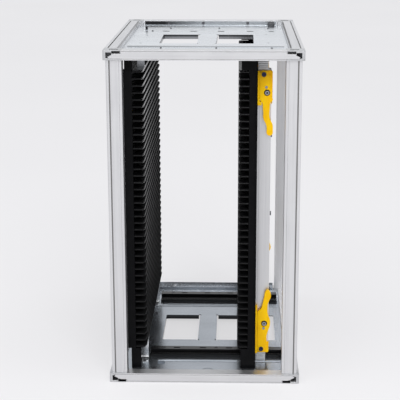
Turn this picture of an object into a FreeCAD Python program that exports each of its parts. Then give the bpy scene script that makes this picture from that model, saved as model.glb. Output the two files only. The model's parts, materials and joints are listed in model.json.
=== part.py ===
"""Adjustable magazine rack for circuit boards.

An aluminium frame of eight corner castings, four columns and eight rails holds a pressed plate at the
top and at the bottom. The left slotted panel is fixed. The right one hangs on two posts, whose feet run
between a pressed bead and a toothed rack, and two shafts with pinions keep its four corners level.
Each foot has a yellow lever that clamps it.

X runs to the right, Y to the rear and Z up. The origin is on the ground under the middle of the frame.
Lengths are in millimetres.
"""
import FreeCAD
import Part
import math
import os

V = FreeCAD.Vector

# Whole frame
FRAME_W = 320.0
FRAME_D = 460.0
FRAME_H = 563.0

# Corner castings
RAIL_H = 16.0
CASTING_EDGE_R = 3.0
CORE_HOLE_FROM_SIDE = 9.4
CORE_HOLE_L = 14.6
CORE_HOLE_W = 6.6
CORE_HOLE_DEPTH = 8.0
FLARE_H = 9.0
FLARE_FROM_EDGE = 1.0
SPIGOT_LENGTH = 14.0
SPIGOT_CLEARANCE = 0.2
CAVITY_FROM_SIDE = 5.0
CAVITY_W = 9.0
CAVITY_DEPTH = 8.0
CAVITY_LIP = 3.5
LATCH_FROM_CAVITY = 0.5
LATCH_L = 13.5
LATCH_SKIN = 1.2

# Columns
COLUMN = 25.6
COLUMN_WALL = 3.0
COLUMN_INSET = 4.0
COLUMN_EDGE_R = 2.0
EDGE_GROOVE_FROM_EDGE = 5.0
EDGE_GROOVE_W = 2.0
EDGE_GROOVE_DEPTH = 1.4
FACE_STEP_W = 4.4
FACE_STEP_DEPTH = 0.6

# Rails
RAIL_D = 20.0
RAIL_WALL = 2.5
RAIL_LINE_FROM_EDGE = 1.6
RAIL_LINE_W = 0.7
RAIL_LINE_DEPTH = 0.4
SIDE_RAIL_W = 22.0
SIDE_RAIL_INNER_WALL = 4.0
SIDE_RAIL_LIP_W = 2.2
SIDE_RAIL_LIP_DEPTH = 2.5
TONGUE_LENGTH = 21.3
TONGUE_THICK = 1.2
TONGUE_OUTER_MARGIN = 5.4
TONGUE_INNER_MARGIN = 2.6
TONGUE_BEVEL = 1.5
TONGUE_TIP_W = 3.0
TONGUE_SLOPE_L = 5.5
TONGUE_CLEARANCE = 0.3

# Pressed plates
PLATE_T = 1.5
PLATE_GAP = 0.3
BOTTOM_PLATE_BELOW_RAIL = 2.0
TOP_PLATE_BELOW_RAIL = 9.0
FLANGE_DROP = 5.0
REAR_FLANGE_BOTTOM = 14.0
REAR_FLANGE_TOP = 7.5
FLANGE_SETBACK = 3.0
WINDOW_X_IN = 16.5
WINDOW_X_OUT = 81.0
WINDOW_Y_FRONT = -70.0
WINDOW_Y_REAR = 56.0
WINDOW_R = 3.0
WINDOW_RIM = 6.5
WINDOW_RELIEF_R = 2.6
SIDE_WINDOW_X_IN = 97.0
SIDE_WINDOW_X_OUT = 124.0
BEAD_W = 6.0
BEAD_H = 1.4
BEAD_X_LEFT = -82.0
BEAD_TO_PLATE_EDGE = 6.7
THIRD_BEAD_TO_RACK = 19.0
STOP_TAB_L = 12.0
STOP_TAB_T = 1.5
STOP_TAB_H = 3.0
STOP_TAB_TO_BEAD = 4.5
TOP_BEAD_Y = -114.0
TOP_SLOT_X = (-86.0, -35.0, 16.0, 70.0)
TOP_SLOT_Y = 104.0
TOP_SLOT_L = 12.0
TOP_SLOT_W = 9.0
TOP_HOLES = ((-110.0, 40.0), (-113.0, -67.0), (104.0, 60.0), (106.0, -60.0), (-88.0, -150.0), (92.0, -150.0))
TOP_HOLE_R = 2.2
TOP_PORT = (115.0, 107.0)
TOP_PORT_R = 5.0
TOP_LUG = (-119.0, 118.0)
TOP_LUG_W = 4.0
TOP_LUG_T = 1.5
TOP_LUG_H = 7.5
KNOB_TO_SIDE = 20.7
KNOB_TO_REAR = 19.7
KNOB_R = 6.5
KNOB_H = 7.0
KNOB_EDGE_R = 2.5
BOTTOM_HOLE = (86.0, -201.0)
BOTTOM_HOLE_R = 2.4
BOTTOM_PORT = (-74.0, 186.0)
BOTTOM_PORT_R = 4.5
ARCH_X = 5.0
ARCH_R = 10.0
ARCH_W = 1.4
ARCH_DEPTH = 0.5
RIM_SCREW_X = -87.0
RIM_SCREW_FROM_FRONT = 28.0
BOTTOM_SCREWS = ((-101.5, 62.0), (-101.5, -80.0))
FLANGE_SCREW_X = (-80.0, -14.0, 72.0)
FLANGE_SCREW_Z = 4.2
FLANGE_SLOT_L = 6.0
FLANGE_SLOT_H = 1.8
FLANGE_SLOT_SKIN = 0.5
FLANGE_SLOT_Z = (4.5, 9.5)

# Slots for the boards
SLOT_PITCH = 11.5
RIB_T = 4.5
RIB_END_T = 2.4
RIB_DEPTH = 18.0
RIB_END_DEPTH = 15.0
LEAD_IN = 12.0
FIRST_RIB_ABOVE_PLATE = 36.5
LAST_RIB_BELOW_PLATE = 25.0

# Slotted panels
PANEL_TO_COLUMN = 0.4
PANEL_WALL = 5.0
PANEL_BACK = 13.0
FIXED_EDGE_BACK = 15.5
PANEL_FROM_REAR = 25.0
PANEL_EDGE = 12.0
PANEL_RIM = 1.0
STIFFENER_T = 3.0
STIFFENER_COUNT = 6
STIFFENER_SETBACK = 2.0
FIXED_FOOT = (-9.0, 8.0)
FIXED_HEAD = (-1.0, 12.0)
MOVING_FOOT = (-12.0, 13.0)
MOVING_HEAD = (-13.0, 13.0)
RUN_GAP = 0.3

# Bent brackets that carry the fixed panel's ribs
BRACKET_W = 12.0
BRACKET_T = 2.0
BRACKET_BEND_R = 6.0
BRACKET_FOOT = 18.0
BRACKET_TAB = 14.0
BRACKET_TO_RACK = 9.0
BRACKET_SCREW_BACK = 11.0

# Toothed racks
MODULE = 1.0
PRESSURE_DEG = 25.0
PINION_TEETH = 16
DEDENDUM = 1.25
BACKLASH = 0.12
RACK_X_LEFT = -97.0
RACK_TO_PLATE_EDGE = 4.7
RACK_FROM_FRONT = 78.0
RACK_FROM_REAR = 102.0
LEDGE_W = 8.0
LEDGE_H = 6.5
GROOVE_FLOOR = 2.0
FRONT_GROOVE_W = 4.0
REAR_GROOVE_W = 12.0
RACK_BACK_W = 14.0
RACK_H = 10.0
RACK_SLOT_L = 11.0
RACK_SLOT_W = 4.0
RACK_SLOT_DEPTH = 4.0
RACK_SLOT_PITCH = 46.0
RACK_SCREW_FIRST = 23.0
RACK_SCREW_PITCH = 92.0
HEAD_SINK = 0.4
END_TAB_T = 1.5
END_TAB_H = 12.0

# Posts, feet and shafts of the moving side
POST_W = 23.0
POST_D = 22.0
POST_WALL = 2.0
POST_ABOVE_PLATE = 18.0
POST_BELOW_PLATE = 29.5
POST_TO_RACK = 13.0
POST_TO_PLATE_EDGE = 28.7
POST_LINE_FROM_EDGE = 3.0
POST_LINE_W = 1.0
POST_LINE_DEPTH = 0.5
PANEL_SCREW_PITCH = 135.0
PANEL_SCREW_GRIP = 8.0
FOOT_LEFT_STEP = 1.0
FOOT_RIGHT_STEP = 5.0
FOOT_LINE_PITCH = 3.0
FOOT_LINE_W = 0.8
PLUG_LENGTH = 18.0
PLUG_CLEARANCE = 0.2
SHAFT_R = 3.0
SHAFT_FIT = 0.05
SHAFT_END = 3.0
BUSH_R = 5.0
BUSH_FLOOR = 3.0
PINION_W = 6.0
PINION_END_GAP = 0.6

# Levers
BASE_T = 3.0
LEVER_T = 5.3
LEVER_GAP = 0.2
PIVOT_R = 2.5
PIVOT_FIT = 0.05
PIVOT_DEPTH = 9.0
PIVOT_HOLE_SPARE = 0.5
PIVOT_FROM_POST_EDGE = 10.5
BOTTOM_PIVOT_INTO_POST = 8.0
TOP_PIVOT_INTO_POST = 6.0
EYE_R = 6.6
REAR_LEVER_OPEN_DEG = 4.0
BASE_EDGE_STEP = 0.3
BASE_STRIP_GAP = 0.35
BASE_CORNER_R = 3.0
BASE_HOOK_RIGHT = -3.5
BOLT_R = 2.5
WASHER_R = 5.0
WASHER_T = 0.8
PIN_R = 2.3
PIN_PROUD = 0.5

# Screws
SCREW_FIT = 0.05
SCREW_SPARE = 1.5
M3 = {"r": 1.5, "head_r": 2.9, "head_h": 1.8, "socket_r": 1.3}
M4 = {"r": 2.0, "head_r": 3.6, "head_h": 2.2, "socket_r": 1.7}
LEVER_BOLT = {"r": BOLT_R, "head_r": 3.6, "head_h": 2.2, "socket_r": 1.6}
LEVER_PIVOT = {"r": PIVOT_R, "head_r": 3.8, "head_h": 2.6, "socket_r": 2.0}

# Places worked out from the sizes above
HALF_W = FRAME_W / 2
HALF_D = FRAME_D / 2
CASTING = COLUMN_INSET + COLUMN
PLATE_HALF_W = HALF_W - SIDE_RAIL_W - PLATE_GAP
PLATE_HALF_D = HALF_D - RAIL_D - PLATE_GAP
PLATE_BOTTOM_Z = RAIL_H - BOTTOM_PLATE_BELOW_RAIL
PLATE_TOP_Z = FRAME_H - TOP_PLATE_BELOW_RAIL
PLATE_TOP_UNDER = PLATE_TOP_Z - PLATE_T
BOTTOM_SCREWS_AT = ((RIM_SCREW_X, RIM_SCREW_FROM_FRONT - HALF_D), *BOTTOM_SCREWS)
KNOB_AT = (PLATE_HALF_W - KNOB_TO_SIDE, PLATE_HALF_D - KNOB_TO_REAR)
FIXED_ROOT_X = CASTING + PANEL_TO_COLUMN + PANEL_BACK - HALF_W
PANEL_Y_FRONT = CASTING + PANEL_TO_COLUMN - HALF_D
PANEL_Y_REAR = HALF_D - PANEL_FROM_REAR
FIRST_RIB_Z = PLATE_BOTTOM_Z + FIRST_RIB_ABOVE_PLATE
RIB_ROOM = PLATE_TOP_UNDER - LAST_RIB_BELOW_PLATE - FIRST_RIB_Z - RIB_T
SLOT_COUNT = int(RIB_ROOM / SLOT_PITCH)
LAST_RIB_TOP = FIRST_RIB_Z + SLOT_COUNT * SLOT_PITCH + RIB_T
WALL_Z_LOW = FIRST_RIB_Z - PANEL_RIM
WALL_Z_HIGH = LAST_RIB_TOP + PANEL_RIM
RACK_FRONT_Y = RACK_FROM_FRONT - HALF_D
REAR_SHIFT = FRAME_D - RACK_FROM_FRONT - RACK_FROM_REAR
RACK_X_RIGHT = PLATE_HALF_W - RACK_TO_PLATE_EDGE
RACK_SCREW_X = [RACK_X_LEFT + RACK_SCREW_FIRST + n * RACK_SCREW_PITCH for n in range(3)]
POST_X_RIGHT = PLATE_HALF_W - POST_TO_PLATE_EDGE
POST_X_MID = POST_X_RIGHT - POST_W / 2
POST_X_LEFT = POST_X_RIGHT - POST_W
MOVING_ROOT_X = POST_X_LEFT - PANEL_BACK
POST_Y_FRONT = RACK_FRONT_Y - POST_TO_RACK
POST_Z_BOTTOM = PLATE_BOTTOM_Z + POST_ABOVE_PLATE
POST_Z_TOP = PLATE_TOP_UNDER - POST_BELOW_PLATE
POST_PAD_Y = [(POST_Y_FRONT + shift, POST_Y_FRONT + POST_D + shift) for shift in (0.0, REAR_SHIFT)]
PANEL_SCREW_Z = [(POST_Z_BOTTOM + POST_Z_TOP) / 2 + n * PANEL_SCREW_PITCH for n in (-1, 0, 1)]
BEAD_Y_REAR = POST_Y_FRONT - RUN_GAP
BEAD_X_RIGHT = PLATE_HALF_W - BEAD_TO_PLATE_EDGE
PITCH = math.pi * MODULE
PINION_R = MODULE * PINION_TEETH / 2
TOOTH_TIP_BOTTOM = PLATE_BOTTOM_Z + LEDGE_H
TOOTH_TIP_TOP = PLATE_TOP_UNDER - LEDGE_H
SHAFT_BOTTOM_Z = TOOTH_TIP_BOTTOM - MODULE + PINION_R
SHAFT_TOP_Z = TOOTH_TIP_TOP + MODULE - PINION_R
BRACKET_X_RIGHT = FIXED_ROOT_X + RIB_DEPTH
BRACKET_X_LEFT = BRACKET_X_RIGHT - BRACKET_W
BRACKET_SCREW_X = (BRACKET_X_LEFT + BRACKET_X_RIGHT) / 2
BRACKET_WEB_Y = RACK_FRONT_Y - BRACKET_TO_RACK
BRACKET_SCREW_Y = BRACKET_WEB_Y - BRACKET_SCREW_BACK
PIVOT_X = POST_X_LEFT + PIVOT_FROM_POST_EDGE
BOTTOM_PIVOT_Z = POST_Z_BOTTOM + BOTTOM_PIVOT_INTO_POST
TOP_PIVOT_Z = POST_Z_TOP - TOP_PIVOT_INTO_POST
LEVER_Y_BACK = POST_Y_FRONT - BASE_T - LEVER_GAP
LEVER_Y_FRONT = LEVER_Y_BACK - LEVER_T

parts = {}


def add(name, *solids):
    """Keeps a piece under its node name. Several solids become one group."""
    shapes = []
    for solid in solids:
        shapes += solid.Solids
    parts[name] = shapes[0] if len(shapes) == 1 else Part.makeCompound(shapes)


def box(x0, x1, y0, y1, z0, z1):
    x0, x1 = min(x0, x1), max(x0, x1)
    y0, y1 = min(y0, y1), max(y0, y1)
    z0, z1 = min(z0, z1), max(z0, z1)
    return Part.makeBox(x1 - x0, y1 - y0, z1 - z0, V(x0, y0, z0))


def rod(start, direction, radius, length):
    return Part.makeCylinder(radius, length, V(*start), V(*direction))


def prism(points, direction):
    """A straight-sided outline of 3-D points, extruded along a vector."""
    corners = [V(*p) for p in points]
    return Part.Face(Part.makePolygon(corners + corners[:1])).extrude(V(*direction))


def fuse(*solids):
    return solids[0].multiFuse(list(solids[1:])).removeSplitter()


def cut(solid, *tools):
    return solid.cut(Part.makeCompound([s for tool in tools for s in tool.Solids]))


def round_edges(solid, radius, chosen):
    """Fillets the edges for which chosen(edge) is true."""
    return solid.makeFillet(radius, [edge for edge in solid.Edges if chosen(edge)])


def runs_along(edge, axis):
    """True if an edge is straight along X, Y or Z."""
    if edge.Curve.TypeId != "Part::GeomLine":
        return False
    direction = edge.Curve.Direction
    return abs(abs((direction.x, direction.y, direction.z)["xyz".index(axis)]) - 1) < 1e-6


# Corners: each has its own axes, u inward along X, v inward along Y and w inward along Z
class Corner:
    def __init__(self, side, end, level):
        self.sx = -1 if side == "left" else 1
        self.sy = -1 if end == "front" else 1
        self.level = level
        self.name = "_".join((level, end, side))

    def x(self, u):
        return self.sx * (HALF_W - u)

    def y(self, v):
        return self.sy * (HALF_D - v)

    def z(self, w):
        return w if self.level == "bottom" else FRAME_H - w

    def box(self, u0, u1, v0, v1, w0, w1):
        return box(self.x(u0), self.x(u1), self.y(v0), self.y(v1), self.z(w0), self.z(w1))


def corner_casting(corner):
    """A cube-like casting with a spigot for the column, the rail and the side rail."""
    body = corner.box(0, CASTING, 0, CASTING, 0, RAIL_H)
    outer_x, outer_y = corner.x(0), corner.y(0)
    body = round_edges(body, CASTING_EDGE_R, lambda e: runs_along(e, "z")
                       and abs(e.CenterOfMass.x - outer_x) < 0.1 and abs(e.CenterOfMass.y - outer_y) < 0.1)
    inset, wall, slack = COLUMN_INSET, COLUMN_WALL, SPIGOT_CLEARANCE
    near, far = inset + wall + slack, inset + COLUMN - wall - slack
    column_spigot = corner.box(near, far, near, far, RAIL_H - 1, RAIL_H + SPIGOT_LENGTH)
    near, far = RAIL_WALL + slack, RAIL_D - RAIL_WALL - slack
    rail_spigot = corner.box(CASTING - 1, CASTING + SPIGOT_LENGTH, near, far, near, RAIL_H - near)
    side_far = SIDE_RAIL_W - SIDE_RAIL_INNER_WALL - slack
    side_spigot = corner.box(near, side_far, CASTING - 1, CASTING + SPIGOT_LENGTH, near, RAIL_H - near)
    depth = TONGUE_THICK + TONGUE_CLEARANCE
    start = CASTING - TONGUE_LENGTH - TONGUE_CLEARANCE
    cavity_end = CAVITY_FROM_SIDE + CAVITY_W
    latch = cavity_end + LATCH_FROM_CAVITY
    hollows = [
        (start, CASTING + 1, depth, TONGUE_OUTER_MARGIN - TONGUE_CLEARANCE,
         RAIL_H - TONGUE_INNER_MARGIN + TONGUE_CLEARANCE),
        (CAVITY_FROM_SIDE, cavity_end, CAVITY_DEPTH, CAVITY_LIP, RAIL_H - CAVITY_LIP),
        (latch, latch + LATCH_L, CAVITY_DEPTH, LATCH_SKIN, TONGUE_OUTER_MARGIN),
    ]
    pockets = [corner.box(a, b, -1, deep, low, high) for a, b, deep, low, high in hollows]
    pockets += [corner.box(-1, deep, a, b, low, high) for a, b, deep, low, high in hollows]
    hole = CORE_HOLE_FROM_SIDE
    pockets.append(corner.box(hole, hole + CORE_HOLE_L, hole, hole + CORE_HOLE_W, -1, CORE_HOLE_DEPTH))
    pieces = [body, column_spigot, rail_spigot, side_spigot]
    if corner.level == "bottom":
        pieces.append(flare(corner))
    return cut(fuse(*pieces), *pockets)


def flare(corner):
    """A thin wedge that rises from a bottom casting along the column's outer side."""
    v0, v1 = COLUMN_INSET + COLUMN_EDGE_R, CASTING
    outline = [(FLARE_FROM_EDGE, RAIL_H - 1), (COLUMN_INSET, RAIL_H - 1), (COLUMN_INSET, RAIL_H + FLARE_H),
               (FLARE_FROM_EDGE, RAIL_H)]
    points = [(corner.x(u), corner.y(v0), corner.z(w)) for u, w in outline]
    return prism(points, (0, corner.y(v1) - corner.y(v0), 0))


def tongue(corner, along):
    """The pointed end of a rail's face, which lies in the casting's shallow recess."""
    low, high = TONGUE_OUTER_MARGIN, RAIL_H - TONGUE_INNER_MARGIN
    root, tip = CASTING + 1, CASTING - TONGUE_LENGTH
    outline = [(root, low), (root, high), (tip + TONGUE_BEVEL, high), (tip, high - TONGUE_TIP_W),
               (tip + TONGUE_SLOPE_L, (low + high - TONGUE_TIP_W) / 2), (tip + 2 * TONGUE_SLOPE_L, low)]
    if along == "x":
        points = [(corner.x(a), corner.y(0), corner.z(w)) for a, w in outline]
        return prism(points, (0, -corner.sy * TONGUE_THICK, 0))
    points = [(corner.x(0), corner.y(a), corner.z(w)) for a, w in outline]
    return prism(points, (-corner.sx * TONGUE_THICK, 0, 0))


def column(side, end):
    """A hollow extrusion with a groove near its outer edge and a low step near its inner edge."""
    corner = Corner(side, end, "bottom")
    a, b = COLUMN_INSET, COLUMN_INSET + COLUMN
    z0, z1 = RAIL_H, FRAME_H - RAIL_H
    outer = corner.box(a, b, a, b, z0, z1)
    edge_x, edge_y = corner.x(a), corner.y(a)
    outer = round_edges(outer, COLUMN_EDGE_R, lambda e: runs_along(e, "z")
                        and abs(e.CenterOfMass.x - edge_x) < 0.1 and abs(e.CenterOfMass.y - edge_y) < 0.1)
    g0 = a + EDGE_GROOVE_FROM_EDGE
    g1, deep, step = g0 + EDGE_GROOVE_W, a + EDGE_GROOVE_DEPTH, a + FACE_STEP_DEPTH
    tools = [
        corner.box(g0, g1, a - 1, deep, z0, z1),
        corner.box(a - 1, deep, g0, g1, z0, z1),
        corner.box(b - FACE_STEP_W, b + 1, a - 1, step, z0, z1),
        corner.box(a - 1, step, b - FACE_STEP_W, b + 1, z0, z1),
        corner.box(a + COLUMN_WALL, b - COLUMN_WALL, a + COLUMN_WALL, b - COLUMN_WALL, z0, z1),
    ]
    return cut(outer, *tools)


def cross_rail(end, level):
    """A hollow rail along X, with a fine line near the top and bottom of its outer face."""
    left, right = Corner("left", end, level), Corner("right", end, level)
    x0, x1 = left.x(CASTING), right.x(CASTING)
    y_out, y_in = left.y(0), left.y(RAIL_D)
    bar = box(x0, x1, y_out, y_in, left.z(0), left.z(RAIL_H))
    hollow = box(x0, x1, left.y(RAIL_WALL), left.y(RAIL_D - RAIL_WALL),
                 left.z(RAIL_WALL), left.z(RAIL_H - RAIL_WALL))
    lines = [box(x0, x1, left.y(-1), left.y(RAIL_LINE_DEPTH), left.z(w), left.z(w + RAIL_LINE_W))
             for w in (RAIL_LINE_FROM_EDGE, RAIL_H - RAIL_LINE_FROM_EDGE - RAIL_LINE_W)]
    return cut(fuse(bar, tongue(left, "x"), tongue(right, "x")), hollow, *lines)


def side_rail(side, level):
    """A hollow rail along Y with a groove near its outer edge and a lip along its inner edge."""
    front, rear = Corner(side, "front", level), Corner(side, "rear", level)
    y0, y1 = front.y(CASTING), rear.y(CASTING)
    bar = box(front.x(0), front.x(SIDE_RAIL_W), y0, y1, front.z(0), front.z(RAIL_H))
    g0 = EDGE_GROOVE_FROM_EDGE
    g1, deep = g0 + EDGE_GROOVE_W, EDGE_GROOVE_DEPTH
    tools = [
        box(front.x(RAIL_WALL), front.x(SIDE_RAIL_W - SIDE_RAIL_INNER_WALL), y0, y1,
            front.z(RAIL_WALL), front.z(RAIL_H - RAIL_WALL)),
        box(front.x(g0), front.x(g1), y0, y1, front.z(-1), front.z(deep)),
        box(front.x(-1), front.x(deep), y0, y1, front.z(g0), front.z(g1)),
        box(front.x(SIDE_RAIL_W - SIDE_RAIL_LIP_W), front.x(SIDE_RAIL_W + 1), y0, y1,
            front.z(-1), front.z(SIDE_RAIL_LIP_DEPTH)),
    ]
    return cut(fuse(bar, tongue(front, "y"), tongue(rear, "y")), *tools)


# Pressed plates
def window(x0, x1, z0, z1):
    hole = box(x0, x1, WINDOW_Y_FRONT, WINDOW_Y_REAR, z0, z1)
    return round_edges(hole, WINDOW_R, lambda e: runs_along(e, "z"))


def main_windows(top):
    """The tools that cut the two large windows, with a round relief at the corners beside the bridge."""
    low, high = top - PLATE_T - WINDOW_RIM - 1, top + 1
    tools = []
    for sx in (-1, 1):
        tools.append(window(sx * WINDOW_X_IN, sx * WINDOW_X_OUT, low, high))
        tools += [rod((sx * WINDOW_X_IN, y, low), (0, 0, 1), WINDOW_RELIEF_R, high - low)
                  for y in (WINDOW_Y_FRONT, WINDOW_Y_REAR)]
    return tools


def window_rims(top):
    """Edges folded down round the large windows."""
    y0, y1 = WINDOW_Y_FRONT - PLATE_T, WINDOW_Y_REAR + PLATE_T
    x0, x1 = WINDOW_X_IN - PLATE_T, WINDOW_X_OUT + PLATE_T
    return [box(sx * x0, sx * x1, y0, y1, top - PLATE_T - WINDOW_RIM, top) for sx in (-1, 1)]


def bead(x0, x1, y_rear, z, height):
    """A pressed ridge along X with sloping flanks. A negative height makes it hang down."""
    slope = abs(height)
    y0, y1 = y_rear - BEAD_W, y_rear
    base = z - math.copysign(PLATE_T / 2, height)
    top = z + height
    outline = [(x0, y0, base), (x0, y1, base), (x0, y1, z), (x0, y1 - slope, top),
               (x0, y0 + slope, top), (x0, y0, z)]
    return prism(outline, (x1 - x0, 0, 0))


def plate_sheet(top, rear_height):
    """A plate's flat, notched round the castings, with flanges down at three sides and up at the rear."""
    x_out, y_out = PLATE_HALF_W, PLATE_HALF_D
    x_in, y_in = HALF_W - CASTING - PLATE_GAP, HALF_D - CASTING - PLATE_GAP
    sheet = box(-x_out, x_out, -y_out, y_out, top - PLATE_T, top)
    notches = [box(sx * x_in, sx * (x_out + 1), sy * y_in, sy * (y_out + 1), top - PLATE_T, top)
               for sx in (-1, 1) for sy in (-1, 1)]
    low = top - PLATE_T - FLANGE_DROP
    x_run, y_run = x_in - FLANGE_SETBACK, y_in - FLANGE_SETBACK
    return [
        cut(sheet, *notches),
        box(-x_out, PLATE_T - x_out, -y_run, y_run, low, top),
        box(x_out - PLATE_T, x_out, -y_run, y_run, low, top),
        box(-x_run, x_run, -y_out, PLATE_T - y_out, low, top),
        box(-x_run, x_run, y_out - PLATE_T, y_out, top - PLATE_T, top + rear_height),
    ]


def shifts():
    """How far the front and the rear copies of a piece are moved along Y."""
    return (0.0, REAR_SHIFT)


def groove_width(shift):
    return REAR_GROOVE_W if shift else FRONT_GROOVE_W


def rack_screw_y(shift):
    return RACK_FRONT_Y + shift + LEDGE_W + groove_width(shift) + RACK_BACK_W / 2


def plate_hole(at, radius, top):
    return rod((at[0], at[1], top - PLATE_T - 1), (0, 0, 1), radius, PLATE_T + 2)


def plate_screw_holes(top):
    """Holes for the rack screws and bracket screws that thread into a plate."""
    places = []
    for shift in shifts():
        places += [(x, rack_screw_y(shift)) for x in RACK_SCREW_X]
        places.append((BRACKET_SCREW_X, BRACKET_SCREW_Y + shift))
    return [plate_hole(at, M3["r"] + SCREW_FIT, top) for at in places]


def end_tabs(seat, up):
    """Small tabs bent out of a plate beside the right ends of the racks."""
    root, tip = seat - up * PLATE_T / 2, seat + up * END_TAB_H
    x0, x1 = RACK_X_RIGHT, RACK_X_RIGHT + END_TAB_T
    return [box(x0, x1, y + 1, y + LEDGE_W, root, tip) for y in (RACK_FRONT_Y, RACK_FRONT_Y + REAR_SHIFT)]


def bottom_plate():
    top = PLATE_BOTTOM_Z
    pieces = plate_sheet(top, REAR_FLANGE_BOTTOM) + end_tabs(top, 1) + window_rims(top)
    pieces += [bead(BEAD_X_LEFT, BEAD_X_RIGHT, BEAD_Y_REAR + shift, top, BEAD_H) for shift in shifts()]
    third_y = RACK_FRONT_Y + REAR_SHIFT - THIRD_BEAD_TO_RACK
    pieces.append(bead(BRACKET_X_RIGHT, BEAD_X_RIGHT, third_y, top, BEAD_H / 2))
    tab_y = BEAD_Y_REAR - BEAD_W - STOP_TAB_TO_BEAD
    pieces.append(box(BEAD_X_LEFT, BEAD_X_LEFT + STOP_TAB_L, tab_y - STOP_TAB_T, tab_y,
                      top - PLATE_T / 2, top + STOP_TAB_H))
    below, above = top - PLATE_T - 1, top + 1
    holes = plate_screw_holes(top) + main_windows(top) + [arch(top)]
    holes.append(window(SIDE_WINDOW_X_IN, SIDE_WINDOW_X_OUT, below, above))
    holes += [plate_hole(BOTTOM_HOLE, BOTTOM_HOLE_R, top), plate_hole(BOTTOM_PORT, BOTTOM_PORT_R, top)]
    holes += [plate_hole(at, M3["r"] + SCREW_FIT, top) for at in BOTTOM_SCREWS_AT]
    for x in FLANGE_SCREW_X[:2]:
        x0, x1 = x - FLANGE_SLOT_L / 2, x + FLANGE_SLOT_L / 2
        holes += [box(x0, x1, PLATE_HALF_D - PLATE_T - 1, PLATE_HALF_D - FLANGE_SLOT_SKIN, top + z,
                      top + z + FLANGE_SLOT_H) for z in FLANGE_SLOT_Z]
    return cut(fuse(*pieces), *holes)


def arch(top):
    """A shallow arch pressed into the front edge of the bottom plate. The sliding foot passes over it."""
    centre = (ARCH_X, -PLATE_HALF_D, top - ARCH_DEPTH)
    height = 2 * ARCH_DEPTH
    return cut(rod(centre, (0, 0, 1), ARCH_R, height), rod(centre, (0, 0, 1), ARCH_R - ARCH_W, height))


def top_plate():
    top = PLATE_TOP_Z
    pieces = plate_sheet(top, REAR_FLANGE_TOP) + end_tabs(PLATE_TOP_UNDER, -1) + window_rims(top)
    pieces += [bead(BEAD_X_LEFT, BEAD_X_RIGHT, BEAD_Y_REAR + shift, PLATE_TOP_UNDER, -BEAD_H)
               for shift in shifts()]
    pieces.append(bead(-BEAD_X_RIGHT, BEAD_X_RIGHT, TOP_BEAD_Y, top, BEAD_H))
    lug_x, lug_y = TOP_LUG
    pieces.append(box(lug_x, lug_x + TOP_LUG_W, lug_y, lug_y + TOP_LUG_T, top - PLATE_T / 2, top + TOP_LUG_H))
    below, above = top - PLATE_T - 1, top + 1
    holes = plate_screw_holes(top) + main_windows(top)
    holes += [box(x, x + TOP_SLOT_L, TOP_SLOT_Y, TOP_SLOT_Y + TOP_SLOT_W, below, above) for x in TOP_SLOT_X]
    holes += [plate_hole(at, TOP_HOLE_R, top) for at in TOP_HOLES]
    holes += [plate_hole(TOP_PORT, TOP_PORT_R, top), plate_hole(KNOB_AT, M4["r"] + SCREW_FIT, top)]
    holes += [rod((x, PLATE_HALF_D + 1, top + FLANGE_SCREW_Z), (0, -1, 0), M3["r"] + SCREW_FIT, PLATE_T + 2)
              for x in FLANGE_SCREW_X]
    return cut(fuse(*pieces), *holes)


def knob():
    """A round grey fitting that stands on the top plate, with its threaded end through the sheet."""
    x, y = KNOB_AT
    head = rod((x, y, PLATE_TOP_Z), (0, 0, 1), KNOB_R, KNOB_H)
    head = round_edges(head, KNOB_EDGE_R, lambda e: abs(e.CenterOfMass.z - PLATE_TOP_Z - KNOB_H) < 0.1)
    shank = rod((x, y, PLATE_TOP_UNDER - SCREW_SPARE), (0, 0, 1), M4["r"], PLATE_T + SCREW_SPARE + 1)
    return fuse(head, shank)


# Toothed racks
def tooth_row(tip_z, root_z, base_z, y):
    """A row of straight-flanked teeth along X, with a tooth space in the middle of the post."""
    slope = math.tan(math.radians(PRESSURE_DEG))
    up = 1 if tip_z > root_z else -1
    pitch_z = tip_z - up * MODULE
    half = PITCH / 4 - BACKLASH / 2
    half_tip = half - MODULE * slope
    half_root = half + abs(pitch_z - root_z) * slope
    first = math.ceil((RACK_X_LEFT + half_root - POST_X_MID) / PITCH - 0.5)
    last = math.floor((RACK_X_RIGHT - half_root - POST_X_MID) / PITCH - 0.5)
    outline = [(RACK_X_LEFT, y, base_z), (RACK_X_LEFT, y, root_z)]
    for n in range(first, last + 1):
        x = POST_X_MID + (n + 0.5) * PITCH
        outline += [(x - half_root, y, root_z), (x - half_tip, y, tip_z),
                    (x + half_tip, y, tip_z), (x + half_root, y, root_z)]
    outline += [(RACK_X_RIGHT, y, root_z), (RACK_X_RIGHT, y, base_z)]
    return prism(outline, (0, LEDGE_W, 0))


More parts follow.
